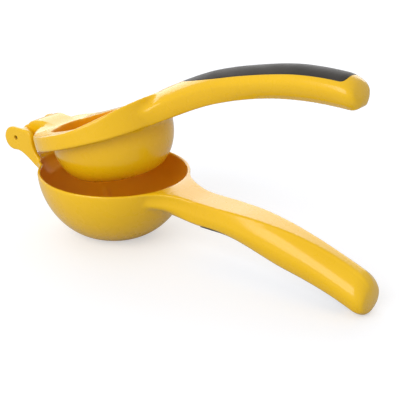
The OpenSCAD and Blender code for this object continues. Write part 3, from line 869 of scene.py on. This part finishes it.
enamel, tree, skin, noise, spread, mixed, bumped = finish("yellow_enamel")
body_colour = mixed(spread(noise(22, 3), 0, 1), (0.85, 0.49, 0.004), (0.88, 0.525, 0.006))
edge, inside = [tree.nodes.new("ShaderNodeAttribute") for _ in range(2)]
edge.attribute_name, inside.attribute_name = "edge", "inside"
thin = spread(edge.outputs["Fac"], 0, 0.3, 0.3, 1)
# The deep orange inside the bowl and the cup is painted shade, for the light bounced among their
# yellow walls.
inner_painted_shade = spread(inside.outputs["Fac"], 0, 1, 0, 1)
outer_colour = mixed(thin, body_colour, (0.91, 0.57, 0.03))
tree.links.new(mixed(inner_painted_shade, outer_colour, (0.80, 0.36, 0.002)), skin.inputs["Base Color"])
gloss = mixed(inner_painted_shade, spread(noise(140, 3), 0.24, 0.32), (0.5, 0.5, 0.5))
tree.links.new(gloss, skin.inputs["Roughness"])
ripple = bumped(noise(420, 2), 0.12, 0.00012)
tree.links.new(bumped(noise(1900, 2), 0.05, 0.00005, ripple), skin.inputs["Normal"])
skin.inputs["Specular IOR Level"].default_value = 0.25
tree.links.new(spread(inside.outputs["Fac"], 0.5, 0, 0, 1), skin.inputs["Coat Weight"])
skin.inputs["Coat Roughness"].default_value = 0.12
print("Enamel has", len(tree.nodes), "nodes")

# %% [markdown]
# The grips are a soft dark rubber. Its skin has a fine grain from the mould that scatters
# light, so it looks greyer when seen from low down, and hands have polished it unevenly.

# %% Mix the rubber
rubber, tree, skin, noise, spread, mixed, bumped = finish("grip_rubber")
tree.links.new(mixed(spread(noise(60, 3), 0, 1), (0.018, 0.014, 0.010), (0.029, 0.024, 0.018)),
               skin.inputs["Base Color"])
tree.links.new(spread(noise(90, 4), 0.48, 0.62), skin.inputs["Roughness"])
grain = bumped(noise(2600, 2), 0.25, 0.0001)
tree.links.new(bumped(noise(500, 2), 0.08, 0.0001, grain), skin.inputs["Normal"])
skin.inputs["Sheen Weight"].default_value = 0.08
skin.inputs["Sheen Roughness"].default_value = 0.4
print("Rubber has", len(tree.nodes), "nodes")

# %% [markdown]
# The pin is a bar of darkened steel, ground along its length. Only its far end and the bottom
# of the drift hole can be seen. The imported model's own solid is right, so it stays and gets
# fine lines along the pin and a slightly uneven shine.

# %% Mix the steel
steel, tree, skin, noise, spread, mixed, bumped = finish("ground_steel")
lines = noise(3000, 2, (1, 0.03, 1))
tree.links.new(mixed(spread(lines, 0, 1), (0.16, 0.155, 0.15), (0.24, 0.235, 0.225)),
               skin.inputs["Base Color"])
tree.links.new(spread(noise(300, 3), 0.24, 0.4), skin.inputs["Roughness"])
tree.links.new(bumped(lines, 0.2, 0.00003), skin.inputs["Normal"])
skin.inputs["Metallic"].default_value = 1
print("Steel has", len(tree.nodes), "nodes")

# %% Put each finish on its pieces
dressed = [(lower_casting, enamel, "enamel", "lower_arm", "lower_arm"),
           (upper_casting, enamel, "enamel", "upper_arm", "upper_arm"),
           (lower_inlay, rubber, "rubber", "lower_arm", "lower_grip"),
           (upper_inlay, rubber, "rubber", "upper_arm", "upper_grip")]
for part, material, slot_name, body, node in dressed:
    part.data.materials.clear()
    part.data.materials.append(material)
    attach(part, body)
    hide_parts(node)
pin = frame["nodes"]["hinge_pin"]
pin.data.materials.clear()
pin.data.materials.append(steel)
print("Four pieces ride on their arms, and the pin keeps its own solid")

# %% [markdown]
# The squeezer stands on a plain pale sweep in soft light. A wide softbox in front on the
# left lights the near sides. Another hangs behind, above the picture's edge, and is what the
# upward faces mirror as a cream sheen. The floor is pale, and a part of what the camera sees
# of it is even white, so that it stays white while it keeps the object's shadow.

# %% Set the stage and the light
bpy.ops.object.select_all(action="DESELECT")
bpy.ops.mesh.primitive_plane_add(size=6, location=(0, 0, 0))
floor = bpy.context.object
floor.name = "floor"
paper = bpy.data.materials.new("pale_paper")
paper.use_nodes = True
tree = paper.node_tree
tree.nodes.clear()
out = tree.nodes.new("ShaderNodeOutputMaterial")
matt = tree.nodes.new("ShaderNodeBsdfDiffuse")
matt.inputs["Color"].default_value = (0.56, 0.57, 0.6, 1)
glow = tree.nodes.new("ShaderNodeEmission")
path = tree.nodes.new("ShaderNodeLightPath")
scaled = tree.nodes.new("ShaderNodeMath")
scaled.operation = "MULTIPLY"
scaled.inputs[1].default_value = 0.49
both = tree.nodes.new("ShaderNodeAddShader")
tree.links.new(path.outputs["Is Camera Ray"], scaled.inputs[0])
tree.links.new(scaled.outputs[0], glow.inputs["Strength"])
tree.links.new(matt.outputs[0], both.inputs[0])
tree.links.new(glow.outputs[0], both.inputs[1])
tree.links.new(both.outputs[0], out.inputs["Surface"])
floor.data.materials.append(paper)


def softbox(name, direction, distance, width, height, power):
    """An area lamp that faces the squeezer's middle."""
    middle = Vector((0.04, 0, 0.04))
    direction = Vector(direction).normalized()
    bpy.ops.object.light_add(type="AREA", location=middle + direction * distance,
                             rotation=direction.to_track_quat("Z", "Y").to_euler())
    lamp = bpy.context.object
    lamp.name = name
    lamp.data.shape = "RECTANGLE"
    lamp.data.size = width
    lamp.data.size_y = height
    lamp.data.energy = power
    return lamp


softbox("front_softbox", (0.0, -0.85, 0.5), 1.3, 1.1, 0.9, 10)
softbox("back_softbox", (-0.55, 0.74, 0.42), 1.2, 1.9, 0.8, 8.5)

world = bpy.data.worlds.new("studio")
bpy.context.scene.world = world
world.use_nodes = True
tree = world.node_tree
sky = tree.nodes["Background"]
path = tree.nodes.new("ShaderNodeLightPath")
strength = tree.nodes.new("ShaderNodeMapRange")
strength.inputs["To Min"].default_value = 0.61
strength.inputs["To Max"].default_value = 1.0
tree.links.new(path.outputs["Is Camera Ray"], strength.inputs["Value"])
tree.links.new(strength.outputs["Result"], sky.inputs["Strength"])
sky.inputs["Color"].default_value = (1, 1, 1, 1)
bpy.context.scene.view_settings.view_transform = "Standard"
print("Two softboxes and a white room")
